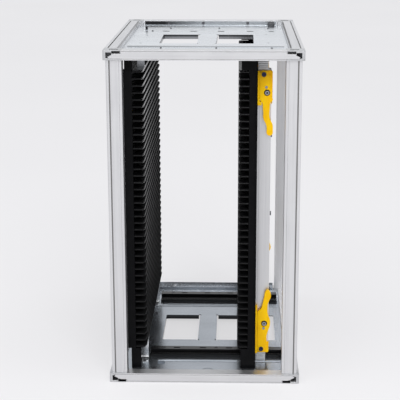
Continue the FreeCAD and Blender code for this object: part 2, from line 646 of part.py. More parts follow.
def rack(shift, level):
    """A ledge with the teeth, a groove behind it, and a taller back with slots and screw holes."""
    up = 1 if level == "bottom" else -1
    seat = PLATE_BOTTOM_Z if up > 0 else PLATE_TOP_UNDER
    y0 = RACK_FRONT_Y + shift
    y1 = y0 + LEDGE_W
    y2 = y1 + groove_width(shift)
    y3 = y2 + RACK_BACK_W
    tip = seat + up * LEDGE_H
    root = tip - up * (1 + DEDENDUM) * MODULE
    ledge = tooth_row(tip, root, seat, y0)
    floor = box(RACK_X_LEFT, RACK_X_RIGHT, y1, y2, seat, seat + up * GROOVE_FLOOR)
    back = box(RACK_X_LEFT, RACK_X_RIGHT, y2, y3, seat, seat + up * RACK_H)
    y_mid = (y2 + y3) / 2
    top = seat + up * RACK_H
    tools = []
    x = RACK_X_LEFT + RACK_SLOT_PITCH
    while x < RACK_X_RIGHT - RACK_SLOT_L:
        tools.append(box(x - RACK_SLOT_L / 2, x + RACK_SLOT_L / 2, y_mid - RACK_SLOT_W / 2,
                         y_mid + RACK_SLOT_W / 2, top - up * RACK_SLOT_DEPTH, top + up))
        x += RACK_SLOT_PITCH
    for x in RACK_SCREW_X:
        tools.append(rod((x, y_mid, seat - up), (0, 0, up), M3["r"] + SCREW_FIT, RACK_H + 2))
        tools.append(rod((x, y_mid, top - up * (M3["head_h"] + HEAD_SINK)), (0, 0, up),
                         M3["head_r"] + RUN_GAP, M3["head_h"] + HEAD_SINK + 1))
    return cut(fuse(ledge, floor, back), *tools)


def screw(size, seat, direction, length):
    """A screw with its head's underside at seat, its shank along direction and a hexagon socket."""
    d = V(*direction)
    p = V(*seat)
    shank = Part.makeCylinder(size["r"], length, p, d)
    top = p - d * size["head_h"]
    head = Part.makeCylinder(size["head_r"], size["head_h"], top, d)
    side = V(0, 0, 1) if abs(d.z) < 0.5 else V(1, 0, 0)
    across = d.cross(side)
    angles = [math.pi * k / 3 for k in range(6)]
    points = [top - d + (side * math.cos(a) + across * math.sin(a)) * size["socket_r"] for a in angles]
    socket = Part.Face(Part.makePolygon(points + points[:1])).extrude(d * (1 + size["head_h"] / 2))
    return cut(fuse(shank, head), socket)


def rack_and_bracket_screws():
    screws = []
    for up, seat in ((1, PLATE_BOTTOM_Z), (-1, PLATE_TOP_UNDER)):
        grip = RACK_H - M3["head_h"] - HEAD_SINK
        length = grip + PLATE_T + SCREW_SPARE
        down = (0, 0, -up)
        for shift in shifts():
            y, z = rack_screw_y(shift), seat + up * grip
            screws += [screw(M3, (x, y, z), down, length) for x in RACK_SCREW_X]
            screws.append(screw(M3, (BRACKET_SCREW_X, BRACKET_SCREW_Y + shift, seat + up * BRACKET_T), down,
                                BRACKET_T + PLATE_T + SCREW_SPARE))
    return screws


def plate_screws():
    """Screws in the top plate's rear flange and in the bottom plate's sheet."""
    y, z = PLATE_HALF_D - PLATE_T, PLATE_TOP_Z + FLANGE_SCREW_Z
    screws = [screw(M3, (x, y, z), (0, 1, 0), PLATE_T) for x in FLANGE_SCREW_X]
    screws += [screw(M3, (x, y, PLATE_BOTTOM_Z), (0, 0, -1), PLATE_T + SCREW_SPARE) for x, y in BOTTOM_SCREWS_AT]
    return screws


# Slotted panels: s runs from the roots of the ribs to the back of the panel
class Panel:
    def __init__(self, root_x, back):
        self.root_x = root_x
        self.back = back

    def x(self, s):
        return self.root_x + self.back * s

    def box(self, s0, s1, y0, y1, z0, z1):
        return box(self.x(s0), self.x(s1), y0, y1, z0, z1)


FIXED = Panel(FIXED_ROOT_X, -1)
MOVING = Panel(MOVING_ROOT_X, 1)


def panel_wall(panel, edge_back):
    """The wall that carries the ribs, with its front and rear edges, its pads and its stiffeners."""
    front, rear = PANEL_Y_FRONT, PANEL_Y_REAR
    pieces = [
        panel.box(0, PANEL_WALL, front, rear, WALL_Z_LOW, WALL_Z_HIGH),
        panel.box(0, edge_back, front, front + PANEL_EDGE, WALL_Z_LOW, WALL_Z_HIGH),
        panel.box(0, PANEL_BACK, rear - PANEL_EDGE, rear, WALL_Z_LOW, WALL_Z_HIGH),
    ]
    pieces += [panel.box(0, PANEL_BACK, y0, y1, WALL_Z_LOW, WALL_Z_HIGH) for y0, y1 in POST_PAD_Y]
    step = (WALL_Z_HIGH - WALL_Z_LOW - STIFFENER_T) / (STIFFENER_COUNT - 1)
    for n in range(STIFFENER_COUNT):
        z = WALL_Z_LOW + n * step
        pieces.append(panel.box(0, PANEL_BACK - STIFFENER_SETBACK, front, rear, z, z + STIFFENER_T))
    return fuse(*pieces)


def panel_ends(panel, gap, foot_s, head_s):
    """The blocks under and over the wall's front and rear edges, which reach the plates."""
    low, high = PLATE_BOTTOM_Z + gap, PLATE_TOP_UNDER - gap
    blocks = []
    for y0 in (PANEL_Y_FRONT, PANEL_Y_REAR - PANEL_EDGE):
        y1 = y0 + PANEL_EDGE
        blocks.append(panel.box(foot_s[0], foot_s[1], y0, y1, low, WALL_Z_LOW))
        blocks.append(panel.box(head_s[0], head_s[1], y0, y1, WALL_Z_HIGH, high))
    return blocks


def rib(panel, z):
    """One guide rib along Y, thinner and shallower at both ends to lead a board in."""
    y0, y1, y2, y3 = PANEL_Y_FRONT, PANEL_Y_FRONT + LEAD_IN, PANEL_Y_REAR - LEAD_IN, PANEL_Y_REAR
    taper = (RIB_T - RIB_END_T) / 2

    def section(y, depth, inset):
        corners = [V(panel.x(0), y, z + inset), V(panel.x(-depth), y, z + inset),
                   V(panel.x(-depth), y, z + RIB_T - inset), V(panel.x(0), y, z + RIB_T - inset)]
        return Part.makePolygon(corners + corners[:1])

    wires = [section(y0, RIB_END_DEPTH, taper), section(y1, RIB_DEPTH, 0),
             section(y2, RIB_DEPTH, 0), section(y3, RIB_END_DEPTH, taper)]
    return Part.makeLoft(wires, True, True)


def ribs(panel):
    return [rib(panel, FIRST_RIB_Z + n * SLOT_PITCH) for n in range(SLOT_COUNT + 1)]


def panel_bracket(shift, level):
    """A bent strip: a foot on the plate, a bend, a web up to the lowest rib and a tab under it."""
    up = 1 if level == "bottom" else -1
    seat = PLATE_BOTTOM_Z if up > 0 else PLATE_TOP_UNDER
    reach = FIRST_RIB_Z if up > 0 else LAST_RIB_TOP
    y_web = BRACKET_WEB_Y + shift
    t, r = BRACKET_T, BRACKET_BEND_R
    x0, x1 = BRACKET_X_LEFT, BRACKET_X_RIGHT
    foot = box(x0, x1, y_web - BRACKET_FOOT, y_web - r, seat, seat + up * t)
    web = box(x0, x1, y_web, y_web + t, seat + up * (r + t), reach)
    tab = box(x0, x1, y_web, y_web + BRACKET_TAB, reach - up * t, reach)
    centre = (x0, y_web - r, seat + up * (r + t))
    ring = cut(rod(centre, (1, 0, 0), r + t, x1 - x0), rod(centre, (1, 0, 0), r, x1 - x0))
    quarter = box(x0, x1, y_web - r, y_web + t, seat, seat + up * (r + t))
    hole = rod((BRACKET_SCREW_X, BRACKET_SCREW_Y + shift, seat - up), (0, 0, up), M3["r"] + SCREW_FIT, t + 2)
    return cut(fuse(foot, web, tab, ring.common(quarter)), hole)


# Posts and feet of the moving side
def post(shift):
    """A hollow extrusion, open at both ends, with a line along its face and holes for its screws."""
    y0 = POST_Y_FRONT + shift
    y1 = y0 + POST_D
    outer = box(POST_X_LEFT, POST_X_RIGHT, y0, y1, POST_Z_BOTTOM, POST_Z_TOP)
    hollow = box(POST_X_LEFT + POST_WALL, POST_X_RIGHT - POST_WALL, y0 + POST_WALL, y1 - POST_WALL,
                 POST_Z_BOTTOM, POST_Z_TOP)
    line_x = POST_X_LEFT + POST_LINE_FROM_EDGE
    line = box(line_x, line_x + POST_LINE_W, y0 - 1, y0 + POST_LINE_DEPTH, POST_Z_BOTTOM, POST_Z_TOP)
    y_mid = (y0 + y1) / 2
    holes = [rod((POST_X_LEFT - 1, y_mid, z), (1, 0, 0), M4["r"] + SCREW_FIT, POST_W + 2)
             for z in PANEL_SCREW_Z]
    holes += [rod((PIVOT_X, y0 - 1, z), (0, 1, 0), PIVOT_R + PIVOT_FIT, POST_WALL + 1 + PLUG_CLEARANCE)
              for z in (BOTTOM_PIVOT_Z, TOP_PIVOT_Z)]
    return cut(outer, hollow, line, *holes)


def foot(shift, level):
    """A block that runs between bead and rack, with a plug inside the post and a bore for the bush.

    The shaft passes through the rear one and ends inside the front one.
    """
    up = 1 if level == "bottom" else -1
    y0 = POST_Y_FRONT + shift
    y1 = RACK_FRONT_Y + shift - RUN_GAP
    slack = POST_WALL + PLUG_CLEARANCE
    if up > 0:
        z_end, z_post = PLATE_BOTTOM_Z + RUN_GAP, POST_Z_BOTTOM
        z_shaft, z_pivot = SHAFT_BOTTOM_Z, BOTTOM_PIVOT_Z
    else:
        z_end, z_post = PLATE_TOP_UNDER - RUN_GAP, POST_Z_TOP
        z_shaft, z_pivot = SHAFT_TOP_Z, TOP_PIVOT_Z
    x0, x1 = POST_X_LEFT + FOOT_LEFT_STEP, POST_X_RIGHT - FOOT_RIGHT_STEP
    block = box(x0, x1, y0, y1, z_end, z_post)
    plug = box(POST_X_LEFT + slack, POST_X_RIGHT - slack, y0 + slack, y1, z_post - up * POST_WALL,
               z_post + up * PLUG_LENGTH)
    lines = range(1, int(abs(z_post - z_end) / FOOT_LINE_PITCH))
    grooves = [box(x0 - 1, x1 + 1, y0 - 1, y0 + POST_LINE_DEPTH, z_end + up * FOOT_LINE_PITCH * n,
                   z_end + up * (FOOT_LINE_PITCH * n + FOOT_LINE_W)) for n in lines]
    bore_y = y0 + BUSH_FLOOR
    bore = rod((POST_X_MID, bore_y, z_shaft), (0, 1, 0), BUSH_R + SCREW_FIT, y1 + 1 - bore_y)
    depth = PIVOT_DEPTH + PIVOT_HOLE_SPARE
    pivot = rod((PIVOT_X, y0 - 1, z_pivot), (0, 1, 0), PIVOT_R + PIVOT_FIT, depth + 1)
    tools = [bore, pivot] + grooves
    if shift:
        tools.append(rod((POST_X_MID, y0 - 1, z_shaft), (0, 1, 0), SHAFT_R + RUN_GAP, BUSH_FLOOR + 2))
    return cut(fuse(block, plug), *tools)


def bush(shift, z):
    y0 = POST_Y_FRONT + shift + BUSH_FLOOR
    y1 = RACK_FRONT_Y + shift - RUN_GAP
    return cut(rod((POST_X_MID, y0, z), (0, 1, 0), BUSH_R, y1 - y0),
               rod((POST_X_MID, y0 - 1, z), (0, 1, 0), SHAFT_R + SHAFT_FIT, y1 - y0 + 2))


def shaft(z):
    """A round shaft along Y that carries both pinions of its level."""
    y0 = POST_Y_FRONT + BUSH_FLOOR + RUN_GAP
    y1 = RACK_FRONT_Y + REAR_SHIFT + PINION_END_GAP + PINION_W + SHAFT_END
    return rod((POST_X_MID, y0, z), (0, 1, 0), SHAFT_R, y1 - y0)


def pinion(shift, z, up):
    """An involute pinion with a tooth pointing into the rack."""
    base_r = PINION_R * math.cos(math.radians(PRESSURE_DEG))
    tip_r, root_r = PINION_R + MODULE, PINION_R - DEDENDUM * MODULE

    def involute(radius):
        pressure = math.acos(min(1.0, base_r / radius))
        return math.tan(pressure) - pressure

    half_tooth = math.pi / (2 * PINION_TEETH) - BACKLASH / (2 * PINION_R) + involute(PINION_R)
    radii = [base_r + (tip_r - base_r) * k / 4 for k in range(5)]
    flank = [(root_r, half_tooth)] + [(r, half_tooth - involute(r)) for r in radii]
    outline = []
    for n in range(PINION_TEETH):
        middle = 2 * math.pi * n / PINION_TEETH - up * math.pi / 2
        for r, a in flank:
            outline.append((r, middle - a))
        for r, a in reversed(flank):
            outline.append((r, middle + a))
    y0 = RACK_FRONT_Y + shift + PINION_END_GAP
    points = [(POST_X_MID + r * math.cos(a), y0, z + r * math.sin(a)) for r, a in outline]
    gear = prism(points, (0, PINION_W, 0))
    return cut(gear, rod((POST_X_MID, y0 - 1, z), (0, 1, 0), SHAFT_R, PINION_W + 2))


# Levers: s runs to the right of the pivot screw and t along the handle
BOTTOM_LEVER = [("line", (8.9, 22)), ("arc", (11.4, 31.5), (14.4, 40.5)), ("arc", (15.2, 47.5), (14.0, 55)),
                ("arc", (11.5, 60.5), (10.2, 66)), ("line", (10.4, 77)), ("arc", (12.2, 85.5), (14.9, 91)),
                ("arc", (16.0, 97), (14.2, 103)), ("arc", (10.3, 106.1), (6.3, 103.6)),
                ("arc", (5.2, 100), (4.6, 95)), ("line", (0.6, 77)), ("arc", (-0.6, 73), (-3, 70)),
                ("arc", (-5.4, 68), (-EYE_R, 65)), ("line", (-EYE_R, 0)), ("arc", (0, -EYE_R), (EYE_R, 0))]
TOP_LEVER = [("line", (13.4, 38)), ("arc", (14.8, 41.5), (13.4, 44.5)), ("arc", (11.2, 47), (10.2, 50.5)),
             ("line", (9.4, 66)), ("arc", (10.2, 73), (12.8, 79)), ("arc", (14.8, 83), (15.5, 87)),
             ("line", (15.5, 97)), ("arc", (10.3, 101.8), (5.0, 96.5)), ("line", (5.2, 88)),
             ("arc", (3.6, 82), (0.8, 77)), ("arc", (-0.5, 73), (-0.7, 66)), ("line", (-1.8, 50)),
             ("arc", (-3.0, 46.4), (-EYE_R, 42.5)), ("line", (-EYE_R, 0)), ("arc", (0, -EYE_R), (EYE_R, 0))]


class LeverPlace:
    """Where a lever sits, and its own axes: s to the right of the pivot and t along the closed handle."""

    def __init__(self, shift, level):
        self.up = 1 if level == "bottom" else -1
        self.shift = shift
        self.pivot_z = BOTTOM_PIVOT_Z if self.up > 0 else TOP_PIVOT_Z

    def point(self, s, t, y):
        return V(PIVOT_X + s, y + self.shift, self.pivot_z + self.up * t)

    def box(self, s0, s1, y0, y1, t0, t1):
        return box(PIVOT_X + s0, PIVOT_X + s1, y0 + self.shift, y1 + self.shift,
                   self.pivot_z + self.up * t0, self.pivot_z + self.up * t1)

    def rod(self, s, t, y0, y1, radius):
        p = self.point(s, t, y0)
        return rod((p.x, p.y, p.z), (0, 1, 0), radius, y1 - y0)

    def opened(self, solid):
        """Turns a piece of a rear lever a few degrees open."""
        if self.shift == 0:
            return solid
        turned = solid.copy()
        turned.rotate(self.point(0, 0, 0), V(0, 1, 0), self.up * REAR_LEVER_OPEN_DEG)
        return turned


def outline_solid(place, start, path, y0, y1):
    """Extrudes an outline of lines and three-point arcs along Y."""
    edges = []
    here = place.point(*start, y0)
    for step in path + [("line", start)]:
        there = place.point(*step[-1], y0)
        if step[0] == "arc":
            edges.append(Part.Arc(here, place.point(*step[1], y0), there).toShape())
        else:
            edges.append(Part.makeLine(here, there))
        here = there
    return Part.Face(Part.Wire(edges)).extrude(V(0, y1 - y0, 0))


def lever_numbers(place):
    """Start of the outline, the outline, the bolt's place and the small pin's place."""
    if place.up > 0:
        return (8.9, 8), BOTTOM_LEVER, (4.8, 46.4), (3.9, 37.3)
    return (13.4, 9), TOP_LEVER, (5.4, 30.1), (4.1, 21.1)


def lever(place):
    """The handle: a flat moulding with an eye for the pivot and holes for the bolt and the pin."""
    start, path, bolt_at, pin_at = lever_numbers(place)
    body = outline_solid(place, start, path, LEVER_Y_FRONT, LEVER_Y_BACK)
    holes = [place.rod(0, 0, LEVER_Y_FRONT - 1, LEVER_Y_BACK + 1, PIVOT_R + PIVOT_FIT),
             place.rod(*bolt_at, LEVER_Y_FRONT - 1, LEVER_Y_BACK + 1, BOLT_R + SCREW_FIT),
             place.rod(*pin_at, LEVER_Y_FRONT - 1, LEVER_Y_BACK + 1, PIN_R + SCREW_FIT)]
    return place.opened(cut(body, *holes))


def lever_bolt(place):
    """The clamp bolt with its washer, and the small pin beside it."""
    bolt_at, pin_at = lever_numbers(place)[2:]
    seat = LEVER_Y_FRONT - WASHER_T
    washer = cut(place.rod(*bolt_at, seat, LEVER_Y_FRONT, WASHER_R),
                 place.rod(*bolt_at, seat - 1, LEVER_Y_FRONT + 1, BOLT_R + SCREW_FIT))
    bolt = screw(LEVER_BOLT, place.point(*bolt_at, seat), (0, 1, 0), WASHER_T + LEVER_T)
    pin = place.rod(*pin_at, LEVER_Y_FRONT - PIN_PROUD, LEVER_Y_BACK, PIN_R)
    return [place.opened(solid) for solid in (washer, bolt, pin)]


# The base plate's right edge, its end past the pivot and its length, then the strip's length
BOTTOM_BASE = {"right": 13.0, "end": 9.0, "wide": 10.0, "right_2": 9.4, "long": 62.0, "strip": 77.0,
               "hook": 0.0}
TOP_BASE = {"right": 14.4, "end": 5.8, "wide": 40.0, "right_2": 14.4, "long": 40.0, "strip": 51.4,
            "hook": 5.8}


def lever_base(place):
    """The flat base on the post, with a raised strip beside the handle."""
    size = BOTTOM_BASE if place.up > 0 else TOP_BASE
    y_back, y_plate = POST_Y_FRONT, POST_Y_FRONT - BASE_T
    left, strip_right = BASE_EDGE_STEP - PIVOT_FROM_POST_EDGE, -EYE_R - BASE_STRIP_GAP
    pieces = [place.box(left, size["right"], y_plate, y_back, -size["end"], size["wide"]),
              place.box(left, size["right_2"], y_plate, y_back, size["wide"] - 1, size["long"]),
              place.box(left, strip_right, LEVER_Y_FRONT, y_back, -size["end"], size["strip"])]
    if size["hook"]:
        pieces.append(place.box(strip_right - 1, BASE_HOOK_RIGHT, LEVER_Y_FRONT, y_back,
                                size["strip"] - size["hook"], size["strip"]))
    base = fuse(*pieces)
    at = place.point(size["right"], -size["end"], y_plate)
    base = round_edges(base, BASE_CORNER_R, lambda e: runs_along(e, "y")
                       and abs(e.CenterOfMass.x - at.x) < 0.1 and abs(e.CenterOfMass.z - at.z) < 0.1)
    return cut(base, place.rod(0, 0, LEVER_Y_FRONT - 1, y_back + 1, PIVOT_R + PIVOT_FIT))


def pivot_screw(place):
    seat = LEVER_Y_FRONT - LEVER_GAP
    return screw(LEVER_PIVOT, place.point(0, 0, seat), (0, 1, 0), POST_Y_FRONT + PIVOT_DEPTH - seat)


def build():
    ends, sides, levels = ("front", "rear"), ("left", "right"), ("bottom", "top")
    shift_of = {"front": 0.0, "rear": REAR_SHIFT}

    for level in levels:
        for end in ends:
            for side in sides:
                corner = Corner(side, end, level)
                add("corner_" + corner.name, corner_casting(corner))
            add("rail_%s_%s" % (level, end), cross_rail(end, level))
            add("rack_%s_%s" % (level, end), rack(shift_of[end], level))
        for side in sides:
            add("side_rail_%s_%s" % (level, side), side_rail(side, level))
    for end in ends:
        for side in sides:
            add("column_%s_%s" % (end, side), column(side, end))
    add("plate_bottom", bottom_plate())
    add("plate_top", top_plate())

    add("plate_knob", knob())
    add("plate_screws", *plate_screws())
    add("rack_screws", *rack_and_bracket_screws())
    add("panel_brackets", *[panel_bracket(shift, level) for level in levels for shift in shifts()])

    add("fixed_panel", panel_wall(FIXED, FIXED_EDGE_BACK), *panel_ends(FIXED, 0, FIXED_FOOT, FIXED_HEAD))
    add("fixed_panel_ribs", *ribs(FIXED))
    y_screws = [(y0 + y1) / 2 for y0, y1 in POST_PAD_Y]
    holes = [rod((POST_X_LEFT + 1, y, z), (-1, 0, 0), M4["r"] + SCREW_FIT, PANEL_SCREW_GRIP + 2)
             for y in y_screws for z in PANEL_SCREW_Z]
    wall = cut(panel_wall(MOVING, PANEL_BACK), *holes)
    add("moving_panel", wall, *panel_ends(MOVING, RUN_GAP, MOVING_FOOT, MOVING_HEAD))
    add("moving_panel_ribs", *ribs(MOVING))
    add("panel_screws", *[screw(M4, (POST_X_RIGHT, y, z), (-1, 0, 0), POST_W + PANEL_SCREW_GRIP)
                          for y in y_screws for z in PANEL_SCREW_Z])

    bushes = []
    pivots = []
    for end in ends:
        shift = shift_of[end]
        add("post_" + end, post(shift))
        for level in levels:
            add("foot_%s_%s" % (level, end), foot(shift, level))
            place = LeverPlace(shift, level)
            add("lever_base_%s_%s" % (level, end), lever_base(place))
            add("lever_%s_%s" % (level, end), lever(place))
            add("lever_bolt_%s_%s" % (level, end), *lever_bolt(place))
            pivots.append(pivot_screw(place))
            bushes.append(bush(shift, SHAFT_BOTTOM_Z if level == "bottom" else SHAFT_TOP_Z))
    add("lever_pivot_screws", *pivots)
    add("shaft_bushes", *bushes)
    for level, z, up in (("bottom", SHAFT_BOTTOM_Z, 1), ("top", SHAFT_TOP_Z, -1)):
        add("shaft_" + level, shaft(z))
        add("pinions_" + level, *[pinion(shift, z, up) for shift in shifts()])


def write():
    os.makedirs("parts", exist_ok=True)
    for name, shape in parts.items():
        if not shape.isValid():
            print("not valid:", name)
        shape.exportStep("parts/" + name + ".step")
    print(len(parts), "pieces written")


build()
write()
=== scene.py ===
# %% [markdown]
# # A magazine rack for circuit boards
# The rack is an aluminium frame of castings, columns and rails. A pressed plate closes its top and its
# bottom, and two slotted black walls hold the boards by their edges. The left wall is fixed. The right
# wall hangs on two posts that slide along toothed racks, and yellow levers lock their four feet.
# The CAD model already has every solid at its real size, so this lesson keeps those shapes. It rounds the
# edges that catch light, and gives each piece the surface that its making leaves on it.

import json
import math

import bmesh
import bpy
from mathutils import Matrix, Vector
from mathutils.bvhtree import BVHTree

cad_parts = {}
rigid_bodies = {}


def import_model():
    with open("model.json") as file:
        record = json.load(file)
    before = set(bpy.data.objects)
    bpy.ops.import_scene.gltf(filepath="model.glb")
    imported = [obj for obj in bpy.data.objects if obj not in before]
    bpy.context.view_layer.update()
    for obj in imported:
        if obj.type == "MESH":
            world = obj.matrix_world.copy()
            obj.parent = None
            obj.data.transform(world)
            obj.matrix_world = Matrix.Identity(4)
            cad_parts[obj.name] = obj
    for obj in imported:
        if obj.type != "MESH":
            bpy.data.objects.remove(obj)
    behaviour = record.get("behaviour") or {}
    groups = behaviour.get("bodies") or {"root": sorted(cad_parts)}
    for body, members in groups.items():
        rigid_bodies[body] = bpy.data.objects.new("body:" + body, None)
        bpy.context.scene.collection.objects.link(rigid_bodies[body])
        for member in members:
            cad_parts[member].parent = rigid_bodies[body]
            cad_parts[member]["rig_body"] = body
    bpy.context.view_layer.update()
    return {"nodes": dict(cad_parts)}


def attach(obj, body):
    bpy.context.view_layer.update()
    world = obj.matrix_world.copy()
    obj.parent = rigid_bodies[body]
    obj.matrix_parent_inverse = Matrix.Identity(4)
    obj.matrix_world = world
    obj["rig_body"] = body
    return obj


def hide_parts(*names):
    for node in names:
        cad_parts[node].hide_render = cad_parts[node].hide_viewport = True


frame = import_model()
nodes = frame["nodes"]
body_of = {name: piece["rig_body"] for name, piece in nodes.items()}
MM = 0.001


# %% [markdown]
# ## Shader sums in plain Python
# A finish is a sum of patterns: streaks, cloud, grain. In the shader editor each plus or times is a Math
# node. A small class around a socket turns Python's own signs into those nodes, so that a pattern reads
# like the arithmetic that it is. Every other kind of node comes from one method.

# %% A socket that can be added and multiplied
class Wire:
    """One output in a material. Sums and products of it add Math nodes."""

    def __init__(self, tree, socket=None):
        self.tree, self.socket = tree, socket

    def node(self, kind, settings, sockets, out=0):
        """Adds a node: its settings first, a ramp's stops among them, then its sockets' values or links."""
        new = self.tree.nodes.new(kind)
        for name, value in settings.items():
            if name == "stops":
                set_stops(new.color_ramp, value)
            else:
                setattr(new, name, value)
        for name, value in sockets.items():
            join(self.tree, value, new.inputs[name])
        return Wire(self.tree, new.outputs[out])

    def maths(self, operation, *values):
        return self.node("ShaderNodeMath", {"operation": operation}, dict(enumerate(values)))

    def __add__(self, other):
        return self.maths("ADD", self, other)

    def __sub__(self, other):
        return self.maths("SUBTRACT", self, other)

    def __rsub__(self, other):
        return self.maths("SUBTRACT", other, self)

    def __mul__(self, other):
        return self.maths("MULTIPLY", self, other)

    __radd__, __rmul__ = __add__, __mul__


def join(tree, value, socket):
    """Fills a socket with a number, or links a wire to it."""
    if isinstance(value, Wire):
        tree.links.new(value.socket, socket)
    else:
        socket.default_value = value


def set_stops(ramp, stops):
    while len(ramp.elements) < len(stops):
        ramp.elements.new(0.5)
    for element, (place, grey) in zip(ramp.elements, stops):
        element.position = place
        element.color = (grey, grey, grey, 1)


# %% [markdown]
# ## One starting point for every finish
# All finishes read the same thing: the place of a point on the rack in metres, from Object coordinates.
# The pieces sit at the origin, so the patterns are at real scale, and a piece that slides or turns takes
# its pattern along. Grain is noise at one scale on all axes. Drawn lines are the same noise, squeezed
# across the drawing direction and stretched along it. A second thing comes from the piece itself: how far
# a face lies hidden in a groove, a socket or a slot. Hands and boards rub the open faces glossier, and most
# finishes are painted darker where that number is high: painted shade in the hollows, where less light
# falls.

# %% Finishes, grain and drawn lines
HIDDEN = "hidden_part"


def finish(name, **constants):
    """A new material, its shader, and a wire with the place on the object in metres."""
    material = bpy.data.materials.new(name)
    material.use_nodes = True
    shader = material.node_tree.nodes["Principled BSDF"]
    for socket, value in constants.items():
        shader.inputs[socket.replace("_", " ")].default_value = value
    place = Wire(material.node_tree).node("ShaderNodeTexCoord", {}, {}, out=3)
    return material, shader, place


def along(place, axis):
    """The place along one axis, in metres."""
    return place.node("ShaderNodeSeparateXYZ", {}, {"Vector": place}, out="XYZ".index(axis))


def grain(place, size_mm, detail=2.0, stretch=(1, 1, 1)):
    """Noise from 0 to 1 with lumps about size_mm across, stretched so many times along each axis."""
    scale = [1 / (size_mm * MM * times) for times in stretch]
    spot = place.node("ShaderNodeVectorMath", {"operation": "MULTIPLY"}, {0: place, 1: scale})
    return place.node("ShaderNodeTexNoise", {}, {"Vector": spot, "Scale": 1.0, "Detail": detail})


def shape(place, pattern, stops):
    """Bends a pattern through grey stops, as (place, grey) pairs."""
    return place.node("ShaderNodeValToRGB", {"stops": stops}, {"Fac": pattern})


def fade(place, value, none_at, full_at):
    """0 where the value is at none_at or past it, 1 at full_at or past it, and even in between."""
    limits = {"From Min": none_at, "From Max": full_at}
    return place.node("ShaderNodeMapRange", {}, {"Value": value, **limits})


def blend(place, mask, colour_0, colour_1):
    """One colour where the mask is 0 and the other where it is 1. A plain colour has three parts."""
    colours = [colour if isinstance(colour, Wire) else (*colour, 1) for colour in (colour_0, colour_1)]
    sockets = {0: mask, 6: colours[0], 7: colours[1]}
    return place.node("ShaderNodeMix", {"data_type": "RGBA"}, sockets, out=2)


def hidden_part(place):
    """How far a face lies in a hollow of its own piece, from 0 in the open to 1 deep inside."""
    return place.node("ShaderNodeAttribute", {"attribute_name": HIDDEN}, {}, out=2)


def inside(place, colour, other, start=0.25, full=0.75):
    """The colour, with a painted tone in the hollows from the start share of met rays to the full one:
    mostly painted shade.
    """
    return blend(place, fade(place, hidden_part(place), start, full), colour, other)


def wear(shader, place, colour, rough=None, height=None, bump_mm=0.02, strength=0.5):
    """Joins the patterns of a finish to its shader."""
    tree = place.tree
    join(tree, colour, shader.inputs["Base Color"])
    if rough:
        join(tree, rough, shader.inputs["Roughness"])
    if height:
        sockets = {"Strength": strength, "Distance": bump_mm * MM, "Height": height}
        join(tree, place.node("ShaderNodeBump", {}, sockets), shader.inputs["Normal"])


print("tools for finishes ready")


# %% [markdown]
# ## Drawn and anodised aluminium
# Columns, rails and posts are pressed through a die and anodised satin silver. The die leaves fine lines
# along the length, and the bath leaves a faint cloud. One material per drawing direction keeps the lines
# true to the bar that they are on. The lines are 60 times as long as they are wide. The grooves are painted
# dark as painted shade, and that starts at a low share of met rays, because a bar's grooves are shallow.

# %% Anodised bars, one finish for each direction
LINE_STRETCH = 60


def drawn_aluminium(name, drawn_along):
    material, shader, place = finish(name, Metallic=0.92)
    times = [LINE_STRETCH if axis == drawn_along else 1 for axis in "XYZ"]
    lines = grain(place, 0.9, 3.0, times)
    bands = grain(place, 5.0, 1.0, times)
    cloud = grain(place, 60.0, 2.0)
    tone = shape(place, lines * 0.35 + bands * 0.4 + cloud * 0.25, [(0.3, 0), (0.7, 1)])
    colour = blend(place, tone, (0.62, 0.62, 0.635), (0.74, 0.74, 0.75))
    # Painted shade: grooves and other hollows are painted dark grey.
    colour = inside(place, colour, (0.10, 0.095, 0.09), start=0.12, full=0.4)
    wear(shader, place, colour, lines * 0.16 + cloud * 0.12 + 0.26, lines, 0.008, 0.3)
    return material


bars_x = drawn_aluminium("anodised_bars_across", "X")
bars_y = drawn_aluminium("anodised_bars_deep", "Y")
bars_z = drawn_aluminium("anodised_bars_upright", "Z")
print("anodised finishes:", bars_x.name, bars_y.name, bars_z.name)


# %% [markdown]
# ## Cast aluminium
# The corners and the sliding feet are pressure castings, tumbled to take the flash off. Their skin is a
# little darker than the bars, with a soft orange-peel grain and small pits. Two sizes of noise in the
# bump make that skin, and the larger one also moves the tone. Their hollows are painted almost black,
# as painted shade.

# %% Casting skin
def cast_skin():
    material, shader, place = finish("cast_aluminium_skin", Metallic=0.9)
    peel = grain(place, 1.6, 3.0)
    pits = grain(place, 0.5, 2.0)
    cloud = grain(place, 14.0, 3.0)
    tone = shape(place, cloud * 0.7 + peel * 0.3, [(0.3, 0), (0.72, 1)])
    colour = blend(place, tone, (0.47, 0.475, 0.485), (0.64, 0.645, 0.655))
    # Painted shade: the hollows of the castings are painted almost black.
    colour = inside(place, colour, (0.012, 0.012, 0.015))
    wear(shader, place, colour, peel * 0.2 + cloud * 0.12 + 0.26, peel * 0.7 + pits * 0.3, 0.04, 0.4)
    return material


cast = cast_skin()
print("made", cast.name)


# %% [markdown]
# ## Zinc-plated sheet
# Both plates are pressed from zinc-plated steel. The plating is bluish and mirrors softly, with cloudy
# patches and a rolling direction along the plate's width. The bottom plate's plating is painted darker
# than the top one's, as painted shade.
# The height over a plate's main face tells what a face is, and each kind takes a painted tone. Just under
# it lie the cut edges and, from a few millimetres down, the turned rims, both painted dark as painted
# shade.
# Above it stands the rear flange, painted dark grey on the top plate as painted shade, nearly black at its
# left end and fading to the plain flange tone before the middle. On the bottom plate the parts that stand
# above it are painted near-white, as a painted highlight. The brackets take their tone from the same rule:
# those near the top of the rack are painted darker, as painted shade.

